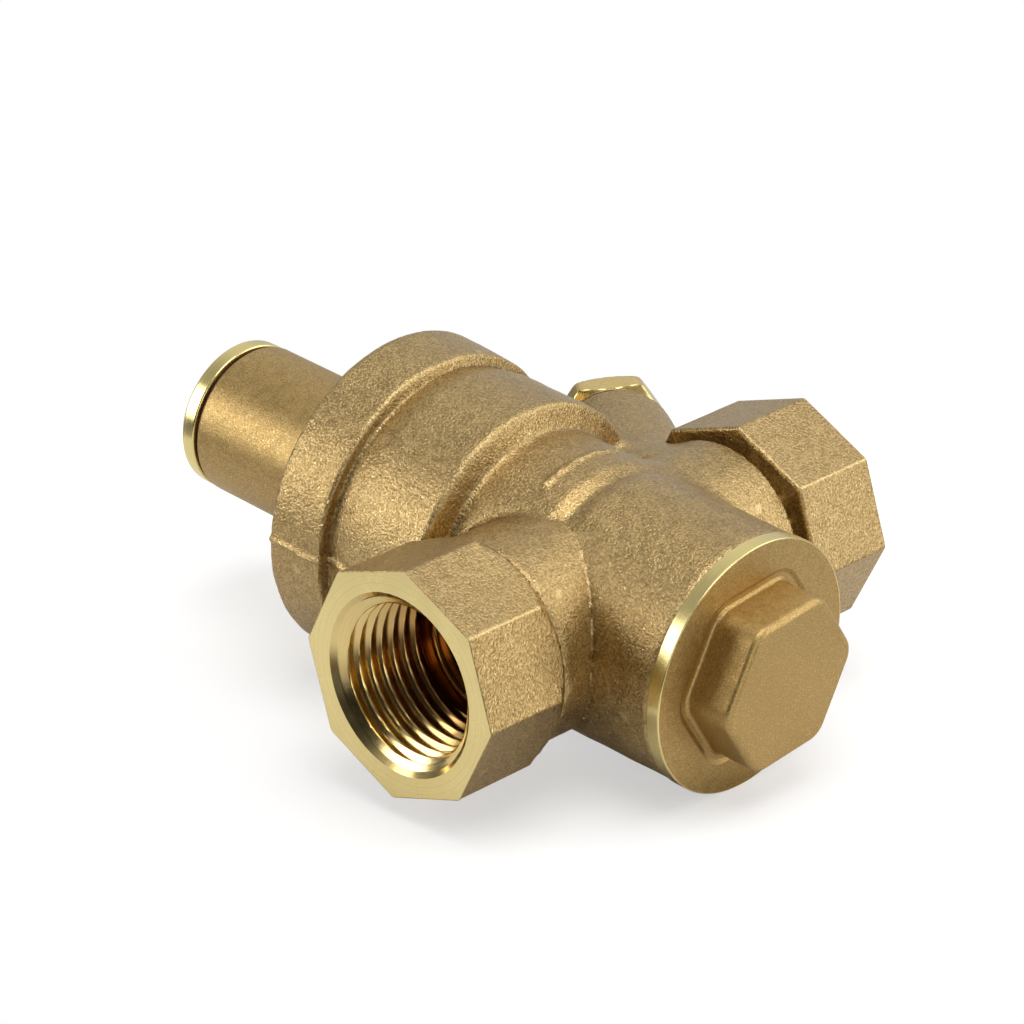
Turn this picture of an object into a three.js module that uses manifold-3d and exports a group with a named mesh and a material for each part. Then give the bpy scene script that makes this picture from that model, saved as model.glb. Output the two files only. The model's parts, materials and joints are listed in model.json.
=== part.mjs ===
// Piston-type water pressure reducing valve, DN15, lying on its side.
//
// Millimetres. +X runs along the valve axis towards the bottom plug, so the adjuster is
// at -X. +Y runs along the flow axis from the inlet to the outlet. +Z is up.
// The pieces are drawn from the point where the flow axis crosses the valve axis, and the
// last line moves them so that the part's origin is the end face of the bottom plug.
//
// Turned pieces are given as profiles of [x, r] points: place along the axis, radius.

import * as THREE from 'three';
import { mergeVertices } from 'three/addons/utils/BufferGeometryUtils.js';
import Module from 'manifold-3d';

const wasm = await Module();
wasm.setup();

// ---------------------------------------------------------------- driving dimensions

const FINE = 32; // sides of a large round piece
const SMALL = 16; // sides of a small round piece
const RING_SIDES = 6; // sides of an O-ring section
const WIRE_SIDES = 6; // sides of the spring wire
const FACE_GAP = 0.05; // between faces that bear on each other
const LAP = 1; // how far solids run into each other before a join or cut

// Ports: octagons with a G1/2 socket in each.
const PORT_FLATS = 27;
const PORT_CORNER_R = PORT_FLATS / 2 / Math.cos(Math.PI / 8);
const INLET_PRISM = 13.5;
const OUTLET_PRISM = 12.6;
const INLET_FACE_Y = -33.9;
const OUTLET_FACE_Y = 35;
const SOCKET_R = 9.4;
const SOCKET_DEPTH = 15;
const MOUTH_R = 11.1;
const MOUTH_DEPTH = 1.6;
const INLET_NECK_R = 12.9;
const OUTLET_NECK_R = 12.5;

// Body casting along the valve axis.
const FLANGE_FRONT = -35.3;
const FLANGE_BACK = -27;
const FLANGE_R = 20.6;
const FLANGE_BACK_R = 20.2;
const FLANGE_CHAMFER = 0.5;
const DRUM_FRONT_R = 19;
const DRUM_BACK = -12.6;
const DRUM_BACK_R = 19.3;
const MIDDLE_FRONT = -10.8;
const MIDDLE_R = 16.15;
const MIDDLE_BACK = 1;
const COVE = 2;
const COVE_R = 15.4;
const TAIL_FRONT = 3;
const TAIL_FRONT_R = 15.9;
const TAIL_R = 15.7;
const BODY_END = 21.4;

// Bores of the casting.
const BONNET_BORE_R = 12.2;
const PISTON_BORE_R = 11.5;
const PISTON_BORE_END = -12.5;
const OUTLET_CHAMBER_R = 10;
const OUTLET_CHAMBER_END = -3;
const ORIFICE_R = 6;
const SEAT_BORE_R = 8.2;
const WEB_END = 5;
const INLET_CHAMBER_R = 12;
const PASSAGE_R = 4.3;
const PASSAGE_X = 7.5;

// Gauge boss: in the plane of both axes, leaning from the outlet towards the adjuster.
const GAUGE_TILT = THREE.MathUtils.degToRad(52);
const GAUGE_FACE = new THREE.Vector3(-25.9, 30.3, 0);
const GAUGE_BOSS_R = 7.4;
const GAUGE_BOSS_ROOT_R = 8.6;
const GAUGE_BOSS_LENGTH = 20;
const GAUGE_HOLE_R = 5;
const GAUGE_HOLE_DEPTH = 9;
const GAUGE_PILOT_R = 2;
const GAUGE_PILOT_DEPTH = 24;

// Bonnet and adjuster.
const SHOULDER_FRONT = -38;
const SHOULDER_BACK = -36.05;
const SHOULDER_R = 14.5;
const BONNET_HEX_FLATS = 22;
const BONNET_HEX_FRONT = -40.6;
const BONNET_NECK_R = 9.7;
const BONNET_NECK_FRONT = -60;
const BONNET_THREAD_R = 11.9;
const BONNET_END = -28;
const SPRING_BORE_R = 8;
const CAP_FRONT = -62.75;
const CAP_BACK = -60.67;
const CAP_R = 9.62;
const CAP_SPIGOT_END = -57;
const SCREW_FRONT = -55.5;
const SCREW_BACK = -47.6;
const INNER_THREAD_R = 7.7;

// Spring between its top seat and the piston.
const SPRING_SEAT_FRONT = -47.5;
const SPRING_SEAT_BACK = -45.1;
const SPRING_WIRE_R = 1;
const SPRING_R = 6.4;
const SPRING_TURNS = 6;

// Piston, its stem and the disc that closes on the seat.
const PISTON_R = 11.2;
const PISTON_FRONT = -24;
const PISTON_BACK = -17;
const SPRING_POCKET_FLOOR = -21.5;
const STEM_R = 3.5;
const STEM_SHOULDER = 8.9;
const SPINDLE_R = 2.5;
const SPINDLE_END = 21.5;
const SPINDLE_HOLE_R = 2.7;
const SEAT_LIP = 7;
const DISC_FRONT = 9.5;
const DISC_BACK = 12;
const DISC_R = 8;
const HOLDER_R = 9;
const HOLDER_BACK = 13.5;
const NUT_FLATS = 10;
const NUT_BACK = 16.3;
const GUIDE_R = 4.7;
const GUIDE_END = 23;

// Bottom plug.
const PLUG_RING_FRONT = 21.45;
const PLUG_RING_BACK = 23.3;
const PLUG_RING_R = 15.85;
const PLUG_SPIGOT_R = 11.7;
const PLUG_SPIGOT_FRONT = 11.5;
const PLUG_POCKET_R = 9.8;
const PLUG_POCKET_END = 16.8;
const GUIDE_BORE_R = 5;
const GUIDE_BORE_END = 26;
const PLUG_HEX_FLATS = 19.3;
const PLUG_HEX_END = 29.35;
const PLUG_HEX_CORNER = 3;
const PLUG_HEX_TURN = THREE.MathUtils.degToRad(5.5);

// Gauge plug, along its own axis outwards from the boss face.
const GAUGE_WASHER_GAP = 0.3;
const GAUGE_WASHER_THICKNESS = 0.9;
const GAUGE_WASHER_R = 6.9;
const GAUGE_HEAD_FLATS = 14;
const GAUGE_HEAD_LENGTH = 3.2;
const GAUGE_SHANK_R = 4.7;
const GAUGE_SHANK_LENGTH = 6.5;
const GAUGE_HEAD_TURN = THREE.MathUtils.degToRad(54);

// ---------------------------------------------------------------- solids from geometry

// A solid from a closed three.js geometry: shared corners merged, poles' slivers dropped.
function solid(geometry) {
  const bare = geometry.clone();
  bare.deleteAttribute('normal');
  bare.deleteAttribute('uv');
  const merged = mergeVertices(bare, 1e-4);
  const corners = merged.attributes.position.array;
  const triangles = [];
  for (let i = 0; i < merged.index.count; i += 3) {
    const [a, b, c] = [0, 1, 2].map((k) => merged.index.getX(i + k));
    if (a !== b && b !== c && c !== a) triangles.push(a, b, c);
  }
  if (volumeOf(corners, triangles) < 0) triangles.reverse();
  return new wasm.Manifold(new wasm.Mesh({
    numProp: 3,
    vertProperties: new Float32Array(corners),
    triVerts: new Uint32Array(triangles),
  }));
}

function volumeOf(corners, triangles) {
  const [a, b, c] = [new THREE.Vector3(), new THREE.Vector3(), new THREE.Vector3()];
  let sixfold = 0;
  for (let i = 0; i < triangles.length; i += 3) {
    a.fromArray(corners, 3 * triangles[i]);
    b.fromArray(corners, 3 * triangles[i + 1]);
    c.fromArray(corners, 3 * triangles[i + 2]);
    sixfold += a.dot(b.cross(c));
  }
  return sixfold / 6;
}

function geometryOf(body) {
  const mesh = body.getMesh();
  const geometry = new THREE.BufferGeometry();
  geometry.setAttribute('position', new THREE.BufferAttribute(mesh.vertProperties, 3));
  geometry.setIndex(new THREE.BufferAttribute(mesh.triVerts, 1));
  geometry.computeVertexNormals();
  return geometry;
}

// Turns geometry made along +Y so that it runs along +X.
const alongX = (geometry) => geometry.rotateZ(-Math.PI / 2);

// A piece turned about the X axis from a closed profile of [x, r] points.
function turned(profile, sides = FINE) {
  const points = profile.map(([x, r]) => new THREE.Vector2(r, x));
  const onAxis = points[0].x === 0 && points.at(-1).x === 0;
  if (!onAxis) points.push(points[0].clone());
  return solid(alongX(new THREE.LatheGeometry(points, sides)));
}

// A plain round bar along X from one place to another.
function bar(from, to, r, sides = FINE, farR = r) {
  return turned([[from, 0], [from, r], [to, farR], [to, 0]], sides);
}

// The same bar along Y, centred on x.
function barY(from, to, r, x = 0, sides = FINE, farR = r) {
  const geometry = new THREE.CylinderGeometry(farR, r, to - from, sides);
  return solid(geometry.translate(x, (from + to) / 2, 0));
}

// A ring of round section about the X axis.
function ring(x, r, sectionR, sides = FINE) {
  const geometry = new THREE.TorusGeometry(r, sectionR, RING_SIDES, sides);
  return solid(geometry.rotateY(Math.PI / 2).translate(x, 0, 0));
}

// A hexagonal bar along X. corner rounds its edges; turn rotates it about X.
function hexBar(from, to, flats, corner, turn = 0) {
  const cornerR = flats / Math.sqrt(3);
  const arcCentreR = cornerR - corner / Math.cos(Math.PI / 6);
  const shape = new THREE.Shape();
  for (let i = 0; i < 6; i += 1) {
    const angle = turn + (i * Math.PI) / 3;
    const [y, x] = [arcCentreR * Math.cos(angle), -arcCentreR * Math.sin(angle)];
    const middle = angle + Math.PI / 2;
    shape.absarc(x, y, corner, middle - Math.PI / 6, middle + Math.PI / 6, false);
  }
  const options = { depth: to - from, bevelEnabled: false, curveSegments: 3 };
  return solid(new THREE.ExtrudeGeometry(shape, options).rotateY(Math.PI / 2).translate(from, 0, 0));
}

// An octagonal bar along Y with corners on the X and Z axes.
const octagonBar = (from, to) => barY(from, to, PORT_CORNER_R, 0, 8);

// ---------------------------------------------------------------- finishes

const finishes = {
  cast: { color: 0xa8894f, roughness: 0.55, metalness: 1 },
  machined: { color: 0xdcc878, roughness: 0.25, metalness: 1 },
  steel: { color: 0xb9bcc0, roughness: 0.3, metalness: 1 },
  rubber: { color: 0x1c1c1e, roughness: 0.8, metalness: 0 },
  fibre: { color: 0x5a3a22, roughness: 0.85, metalness: 0 },
  plastic: { color: 0xece9de, roughness: 0.5, metalness: 0 },
};

function piece(name, body, finish) {
  const mesh = new THREE.Mesh(geometryOf(body), new THREE.MeshStandardMaterial(finishes[finish]));
  mesh.name = name;
  return mesh;
}

// ---------------------------------------------------------------- body casting

// Where the gauge boss stands: its local +X points out of the boss, 0 at the boss face.
function gaugeFrame() {
  const frame = new THREE.Group();
  frame.position.copy(GAUGE_FACE);
  frame.rotation.z = Math.PI / 2 + GAUGE_TILT;
  frame.updateMatrix();
  return frame;
}

function inGaugeFrame(body) {
  return solid(geometryOf(body).applyMatrix4(gaugeFrame().matrix));
}

function castingOutside() {
  const axial = turned([
    [FLANGE_FRONT, 0], [FLANGE_FRONT, FLANGE_R - FLANGE_CHAMFER],
    [FLANGE_FRONT + FLANGE_CHAMFER, FLANGE_R],
    [FLANGE_BACK, FLANGE_BACK_R], [FLANGE_BACK, DRUM_FRONT_R], [DRUM_BACK, DRUM_BACK_R],
    [MIDDLE_FRONT, MIDDLE_R], [MIDDLE_BACK, MIDDLE_R], [COVE, COVE_R],
    [TAIL_FRONT, TAIL_FRONT_R], [BODY_END, TAIL_R], [BODY_END, 0],
  ]);
  const inletPrismBack = INLET_FACE_Y + INLET_PRISM;
  const outletPrismBack = OUTLET_FACE_Y - OUTLET_PRISM;
  const flow = [
    octagonBar(INLET_FACE_Y, inletPrismBack),
    octagonBar(outletPrismBack, OUTLET_FACE_Y),
    barY(inletPrismBack - LAP, LAP, INLET_NECK_R),
    barY(-LAP, outletPrismBack + LAP, OUTLET_NECK_R),
  ];
  const boss = inGaugeFrame(bar(-GAUGE_BOSS_LENGTH, 0, GAUGE_BOSS_ROOT_R, FINE, GAUGE_BOSS_R));
  return [...flow, boss].reduce((body, part) => body.add(part), axial);
}

// One G1/2 socket with its flared mouth. outwards is -1 at the inlet and 1 at the outlet.
function socket(face, outwards) {
  const beyond = face + outwards * LAP;
  const floor = face - outwards * SOCKET_DEPTH;
  const throat = face - outwards * MOUTH_DEPTH;
  const bore = barY(Math.min(beyond, floor), Math.max(beyond, floor), SOCKET_R);
  const mouth = outwards > 0
    ? barY(throat, face, SOCKET_R, 0, FINE, MOUTH_R)
    : barY(face, throat, MOUTH_R, 0, FINE, SOCKET_R);
  return bore.add(mouth);
}

function castingHollows() {
  const axial = [
    bar(FLANGE_FRONT - LAP, FLANGE_BACK, BONNET_BORE_R),
    bar(FLANGE_BACK - LAP, PISTON_BORE_END, PISTON_BORE_R),
    bar(PISTON_BORE_END - LAP, OUTLET_CHAMBER_END, OUTLET_CHAMBER_R),
    bar(OUTLET_CHAMBER_END - LAP, LAP, ORIFICE_R),
    bar(0, WEB_END + LAP, SEAT_BORE_R),
    bar(WEB_END, BODY_END + LAP, INLET_CHAMBER_R),
  ];
  const socketFloor = Math.abs(INLET_FACE_Y) - SOCKET_DEPTH;
  const flow = [
    socket(INLET_FACE_Y, -1),
    socket(OUTLET_FACE_Y, 1),
    barY(-socketFloor - LAP, LAP - INLET_CHAMBER_R, PASSAGE_R, PASSAGE_X, SMALL),
    barY(OUTLET_CHAMBER_R - LAP, socketFloor + 2 * LAP, PASSAGE_R, -PASSAGE_X, SMALL),
  ];
  const gauge = inGaugeFrame(
    bar(-GAUGE_HOLE_DEPTH, LAP, GAUGE_HOLE_R, SMALL)
      .add(bar(-GAUGE_PILOT_DEPTH, -GAUGE_HOLE_DEPTH + LAP, GAUGE_PILOT_R, SMALL)),
  );
  return [...axial, ...flow, gauge].reduce((all, part) => all.add(part));
}

function valveBody() {
  return piece('valve_body', castingOutside().subtract(castingHollows()), 'cast');
}

// ---------------------------------------------------------------- bonnet and adjuster

function springBonnet() {
  const hexCorner = 0.6;
  const outside = turned([
    [BONNET_NECK_FRONT, 0], [BONNET_NECK_FRONT, BONNET_NECK_R], [SHOULDER_FRONT, BONNET_NECK_R],
    [SHOULDER_FRONT, SHOULDER_R], [SHOULDER_BACK, SHOULDER_R], [SHOULDER_BACK, BONNET_THREAD_R],
    [BONNET_END, BONNET_THREAD_R], [BONNET_END, 0],
  ]);
  const hexagon = hexBar(BONNET_HEX_FRONT, SHOULDER_FRONT + LAP, BONNET_HEX_FLATS, hexCorner);
  const bore = bar(BONNET_NECK_FRONT - LAP, BONNET_END + LAP, SPRING_BORE_R);
  return piece('spring_bonnet', outside.add(hexagon).subtract(bore), 'cast');
}

function bonnetGasket() {
  const [front, back, inner, outer] = [SHOULDER_BACK + FACE_GAP, FLANGE_FRONT, 12.4, 14.4];
  const profile = [[front, inner], [front, outer], [back, outer], [back, inner]];
  return piece('bonnet_gasket', turned(profile), 'fibre');
}

function adjusterCap() {
  const [slotWidth, slotDepth, slotLength, chamfer] = [1.8, 1.1, 13, 0.3];
  const head = turned([
    [CAP_FRONT, 0], [CAP_FRONT, CAP_R - chamfer], [CAP_FRONT + chamfer, CAP_R], [CAP_BACK, CAP_R],
    [CAP_BACK, INNER_THREAD_R], [CAP_SPIGOT_END, INNER_THREAD_R], [CAP_SPIGOT_END, 0],
  ]);
  const slot = new THREE.BoxGeometry(2 * slotDepth, slotLength, slotWidth).translate(CAP_FRONT, 0, 0);
  return piece('adjuster_cap', head.subtract(solid(slot)), 'machined');
}

function capGasket() {
  const [front, back, inner, outer] = [CAP_BACK + FACE_GAP, BONNET_NECK_FRONT - FACE_GAP, 8, 9.1];
  const profile = [[front, inner], [front, outer], [back, outer], [back, inner]];
  return piece('cap_gasket', turned(profile), 'fibre');
}

function adjustingScrew() {
  const [keyFlats, keyDepth, keyCorner] = [8, 5, 0.1];
  const plug = bar(SCREW_FRONT, SCREW_BACK, INNER_THREAD_R);
  const key = hexBar(SCREW_FRONT - LAP, SCREW_FRONT + keyDepth, keyFlats, keyCorner);
  return piece('adjusting_screw', plug.subtract(key), 'machined');
}

function springTopSeat() {
  const [flangeR, pilotR, pilotEnd] = [7.5, 5, -43];
  const body = turned([
    [SPRING_SEAT_FRONT, 0], [SPRING_SEAT_FRONT, flangeR], [SPRING_SEAT_BACK, flangeR],
    [SPRING_SEAT_BACK, pilotR], [pilotEnd, pilotR], [pilotEnd, 0],
  ]);
  return piece('spring_top_seat', body, 'steel');
}

// A helix about the X axis.
class Helix extends THREE.Curve {
  constructor(start, end, r, turns) {
    super();
    Object.assign(this, { start, end, r, turns });
  }

  getPoint(t, target = new THREE.Vector3()) {
    const angle = 2 * Math.PI * this.turns * t;
    const x = this.start + (this.end - this.start) * t;
    return target.set(x, this.r * Math.cos(angle), this.r * Math.sin(angle));
  }
}

function mainSpring() {
  const [stepsPerTurn, endGap] = [16, 0.25];
  const start = SPRING_SEAT_BACK + SPRING_WIRE_R + endGap;
  const end = SPRING_POCKET_FLOOR - SPRING_WIRE_R - endGap;
  const wire = new THREE.Shape().absarc(0, 0, SPRING_WIRE_R, 0, 2 * Math.PI, false);
  const geometry = new THREE.ExtrudeGeometry(wire, {
    steps: SPRING_TURNS * stepsPerTurn,
    curveSegments: WIRE_SIDES / 2,
    bevelEnabled: false,
    extrudePath: new Helix(start, end, SPRING_R, SPRING_TURNS),
  });
  return piece('main_spring', solid(geometry), 'steel');
}

// ---------------------------------------------------------------- piston and disc

const PISTON_SEAL_X = -18.7;
const GUIDE_RING = { front: -22.8, back: -20.9, inner: 10.35, outer: 11.38 };

function piston() {
  const [grooveR, grooveHalf, guideR, guideGap] = [9.5, 0.95, 10.25, 0.1];
  const [bossR, bossFront] = [4.6, PISTON_FRONT + 0.8];
  const body = turned([
    [SPRING_POCKET_FLOOR, 0], [SPRING_POCKET_FLOOR, SPRING_BORE_R], [PISTON_FRONT, SPRING_BORE_R],
    [PISTON_FRONT, PISTON_R], [GUIDE_RING.front - guideGap, PISTON_R],
    [GUIDE_RING.front - guideGap, guideR], [GUIDE_RING.back + guideGap, guideR],
    [GUIDE_RING.back + guideGap, PISTON_R], [PISTON_SEAL_X - grooveHalf, PISTON_R],
    [PISTON_SEAL_X - grooveHalf, grooveR], [PISTON_SEAL_X + grooveHalf, grooveR],
    [PISTON_SEAL_X + grooveHalf, PISTON_R], [PISTON_BACK, PISTON_R], [PISTON_BACK, STEM_R],
    [STEM_SHOULDER, STEM_R], [STEM_SHOULDER, SPINDLE_R], [SPINDLE_END, SPINDLE_R],
    [SPINDLE_END, 0],
  ]);
  const boss = bar(bossFront, SPRING_POCKET_FLOOR + LAP, bossR, SMALL);
  return piece('piston', body.add(boss), 'machined');
}

function pistonGuideRing() {
  const { front, back, inner, outer } = GUIDE_RING;
  const profile = [[front, inner], [front, outer], [back, outer], [back, inner]];
  return piece('piston_guide_ring', turned(profile), 'plastic');
}

function discWasher() {
  const [front, back, outer] = [STEM_SHOULDER + FACE_GAP, DISC_FRONT - FACE_GAP, 5.2];
  const profile = [[front, SPINDLE_HOLE_R], [front, outer], [back, outer], [back, SPINDLE_HOLE_R]];
  return piece('disc_washer', turned(profile, SMALL), 'steel');
}

function valveDisc() {
  const profile = [
    [DISC_FRONT, SPINDLE_HOLE_R], [DISC_FRONT, DISC_R],
    [DISC_BACK, DISC_R], [DISC_BACK, SPINDLE_HOLE_R],
  ];
  return piece('valve_disc', turned(profile), 'rubber');
}

function discHolder() {
  const [rimFront, rimInnerR] = [9.8, DISC_R + 0.15];
  const floor = DISC_BACK + FACE_GAP;
  const profile = [
    [floor, SPINDLE_HOLE_R], [floor, rimInnerR], [rimFront, rimInnerR], [rimFront, HOLDER_R],
    [HOLDER_BACK, HOLDER_R], [HOLDER_BACK, SPINDLE_HOLE_R],
  ];
  return piece('disc_holder', turned(profile), 'machined');
}

const GUIDE_SEAL_X = 20.7;
const SEAT_SEAL_X = 2.6;

// The nut that holds the disc on, with a tail that slides in the bottom plug.
function guideNut() {
  const [grooveR, grooveHalf, blindEnd, hexCorner] = [3.6, 0.75, 21.9, 0.3];
  const front = HOLDER_BACK + FACE_GAP;
  const tail = turned([
    [front, 0], [front, GUIDE_R],
    [GUIDE_SEAL_X - grooveHalf, GUIDE_R], [GUIDE_SEAL_X - grooveHalf, grooveR],
    [GUIDE_SEAL_X + grooveHalf, grooveR], [GUIDE_SEAL_X + grooveHalf, GUIDE_R],
    [GUIDE_END, GUIDE_R], [GUIDE_END, 0],
  ], SMALL);
  const hexagon = hexBar(front, NUT_BACK, NUT_FLATS, hexCorner);
  const hole = bar(front - LAP, blindEnd, SPINDLE_HOLE_R, SMALL);
  return piece('guide_nut', tail.add(hexagon).subtract(hole), 'machined');
}

function valveSeat() {
  const [lipInner, lipOuter, lipRoot, flangeBack, flangeR] = [6.2, 6.5, 7.4, 6, 9.2];
  const [skirtFront, skirtR, grooveR, grooveHalf] = [0.3, 8, 7, 0.7];
  const flangeFront = WEB_END + FACE_GAP;
  const body = turned([
    [skirtFront, ORIFICE_R], [skirtFront, skirtR], [SEAT_SEAL_X - grooveHalf, skirtR],
    [SEAT_SEAL_X - grooveHalf, grooveR], [SEAT_SEAL_X + grooveHalf, grooveR],
    [SEAT_SEAL_X + grooveHalf, skirtR], [flangeFront, skirtR], [flangeFront, flangeR],
    [flangeBack, flangeR], [flangeBack, lipRoot], [SEAT_LIP, lipOuter], [SEAT_LIP, lipInner],
    [flangeBack, ORIFICE_R],
  ]);
  return piece('valve_seat', body, 'machined');
}

// ---------------------------------------------------------------- bottom plug

const PLUG_SEAL_X = 20;

function bottomPlug() {
  const [grooveR, grooveHalf] = [10.2, 0.95];
  const outside = turned([
    [PLUG_SPIGOT_FRONT, 0], [PLUG_SPIGOT_FRONT, PLUG_SPIGOT_R],
    [PLUG_SEAL_X - grooveHalf, PLUG_SPIGOT_R], [PLUG_SEAL_X - grooveHalf, grooveR],
    [PLUG_SEAL_X + grooveHalf, grooveR], [PLUG_SEAL_X + grooveHalf, PLUG_SPIGOT_R],
    [PLUG_RING_FRONT, PLUG_SPIGOT_R], [PLUG_RING_FRONT, PLUG_RING_R],
    [PLUG_RING_BACK, PLUG_RING_R], [PLUG_RING_BACK, 0],
  ]);
  const hexagon = hexBar(
    PLUG_RING_BACK - LAP, PLUG_HEX_END, PLUG_HEX_FLATS, PLUG_HEX_CORNER, PLUG_HEX_TURN,
  );
  const hollow = bar(PLUG_SPIGOT_FRONT - LAP, PLUG_POCKET_END, PLUG_POCKET_R)
    .add(bar(PLUG_POCKET_END - LAP, GUIDE_BORE_END, GUIDE_BORE_R));
  return piece('bottom_plug', outside.add(hexagon).subtract(hollow), 'cast');
}

// ---------------------------------------------------------------- gauge plug

function gaugePlug() {
  const hexCorner = 0.4;
  const headFront = GAUGE_WASHER_GAP * 2 + GAUGE_WASHER_THICKNESS;
  const headBack = headFront + GAUGE_HEAD_LENGTH;
  const head = hexBar(headFront, headBack, GAUGE_HEAD_FLATS, hexCorner, GAUGE_HEAD_TURN);
  const shank = bar(-GAUGE_SHANK_LENGTH, headFront + LAP, GAUGE_SHANK_R, SMALL);
  return piece('gauge_plug', shank.add(head), 'machined');
}

function gaugePlugWasher() {
  const [front, inner] = [GAUGE_WASHER_GAP, GAUGE_HOLE_R];
  const back = front + GAUGE_WASHER_THICKNESS;
  const profile = [[front, inner], [front, GAUGE_WASHER_R], [back, GAUGE_WASHER_R], [back, inner]];
  return piece('gauge_plug_washer', turned(profile), 'fibre');
}

// ---------------------------------------------------------------- O-rings

// Each ring's place along the axis, radius, section radius and sides.
const O_RINGS = {
  piston_oring: { x: PISTON_SEAL_X, r: 10.5, sectionR: 0.85, sides: FINE },
  guide_oring: { x: GUIDE_SEAL_X, r: 4.3, sectionR: 0.62, sides: SMALL },
  seat_oring: { x: SEAT_SEAL_X, r: 7.6, sectionR: 0.53, sides: FINE },
  plug_oring: { x: PLUG_SEAL_X, r: 11.08, sectionR: 0.82, sides: FINE },
};

function oRing(name) {
  const { x, r, sectionR, sides } = O_RINGS[name];
  return piece(name, ring(x, r, sectionR, sides), 'rubber');
}

// ---------------------------------------------------------------- the whole valve

const valve = new THREE.Group();
valve.add(
  valveBody(),
  springBonnet(), bonnetGasket(), adjusterCap(), capGasket(), adjustingScrew(),
  springTopSeat(), mainSpring(),
  piston(), pistonGuideRing(), discWasher(), valveDisc(), discHolder(), guideNut(),
  valveSeat(), bottomPlug(),
  ...Object.keys(O_RINGS).map(oRing),
);

const gauge = gaugeFrame();
gauge.add(gaugePlug(), gaugePlugWasher());
valve.add(gauge);

// The finished part's origin is the centre of the bottom plug's end face.
valve.position.x = -PLUG_HEX_END;

export default valve;
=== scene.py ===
"""The finished look of a DN15 piston pressure reducing valve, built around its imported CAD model.

Shapes are drawn in millimetres from the point where the flow axis crosses the valve axis:
+X towards the bottom plug, +Y from the inlet to the outlet, +Z up. put() moves them into
the frame. A turned shape is a profile of rows [x, r, rounding, polygon], where rounding is
the radius of that corner and polygon makes the section a polygon of inner radius r. Without a
polygon, r is one radius or an array with a radius for each angle.
"""

import json
import math

import bpy
import numpy as np
import openvdb
from mathutils import Matrix, Vector

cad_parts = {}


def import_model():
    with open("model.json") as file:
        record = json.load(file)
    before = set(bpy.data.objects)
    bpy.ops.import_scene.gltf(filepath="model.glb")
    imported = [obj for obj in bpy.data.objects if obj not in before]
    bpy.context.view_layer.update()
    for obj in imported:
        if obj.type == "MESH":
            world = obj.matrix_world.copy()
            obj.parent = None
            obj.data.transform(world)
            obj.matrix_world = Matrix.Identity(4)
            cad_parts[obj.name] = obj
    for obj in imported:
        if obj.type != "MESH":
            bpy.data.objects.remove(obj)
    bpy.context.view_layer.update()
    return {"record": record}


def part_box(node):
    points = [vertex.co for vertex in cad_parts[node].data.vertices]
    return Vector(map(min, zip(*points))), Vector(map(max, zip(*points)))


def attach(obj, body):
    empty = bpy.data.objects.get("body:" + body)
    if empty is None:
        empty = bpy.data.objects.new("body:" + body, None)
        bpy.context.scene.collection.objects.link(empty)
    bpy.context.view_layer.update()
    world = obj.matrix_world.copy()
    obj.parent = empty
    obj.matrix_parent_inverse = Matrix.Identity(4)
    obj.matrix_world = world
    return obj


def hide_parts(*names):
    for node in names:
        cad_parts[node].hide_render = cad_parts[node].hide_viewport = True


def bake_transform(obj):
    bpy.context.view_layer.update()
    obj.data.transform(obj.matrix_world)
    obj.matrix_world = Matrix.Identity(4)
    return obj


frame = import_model()

# ------------------------------------------------------------------ driving dimensions

PLUG_END = 29.35
CROSSING_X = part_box("bottom_plug")[1].x * 1000 - PLUG_END  # of the crossing, in the frame
BODY_OF = {n: b for b, ns in frame["record"]["behaviour"]["bodies"].items() for n in ns}
VOXEL = 0.44  # mesh size of the casting

PORT_HALF = 13.5  # half the width across the flats of a port
PORT_CORNER = 0.7
INLET_FACE = 33.9
INLET_PRISM = 13.5
OUTLET_FACE = 35.0
OUTLET_PRISM = 12.6
PIPE_MINOR_R = 9.315
PIPE_MAJOR_R = 10.48
PIPE_PITCH = 1.814
THREAD_DEPTH = 13.4
SOCKET_DEPTH = 15.0
SOCKET_END_R = 9.3
MOUTH_R = 11.15
MOUTH_DEPTH = 0.62  # where the flared mouth turns steep and runs out into the thread
MOUTH_INNER_R = 10.47
PASSAGE_R = 4.3
PASSAGE_X = 7.5  # how far each socket's passage lies from the flow axis
INLET_NECK_R = 12.9
OUTLET_NECK_R = 12.5
GROOVE_R = 11.2

FLANGE_FRONT = -35.3
FLANGE_BACK = -27.0
FLANGE_R = 20.6
FLANGE_BACK_R = 20.2
DRUM_BACK = -12.6
DRUM_R = 19.35
MIDDLE_R = 16.15
TAIL_R = 15.7
BODY_END = 21.4

GAUGE_ANGLE = 142.0  # degrees about Z from +X to the gauge boss axis
GAUGE_FACE = (-25.9, 30.3, 0.0)

BAR_CENTRE = (-4.2, -0.6)  # the raised bar on top of the middle
BAR_HALF_LENGTH = 6.2
BAR_HALF_WIDTH = 0.32
BAR_HEIGHT = 0.34

CAP_END = -62.75

FINE = 144  # points round a large turned piece
SMALL = 72  # and round a small one


# ------------------------------------------------------------------ turned shapes

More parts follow.
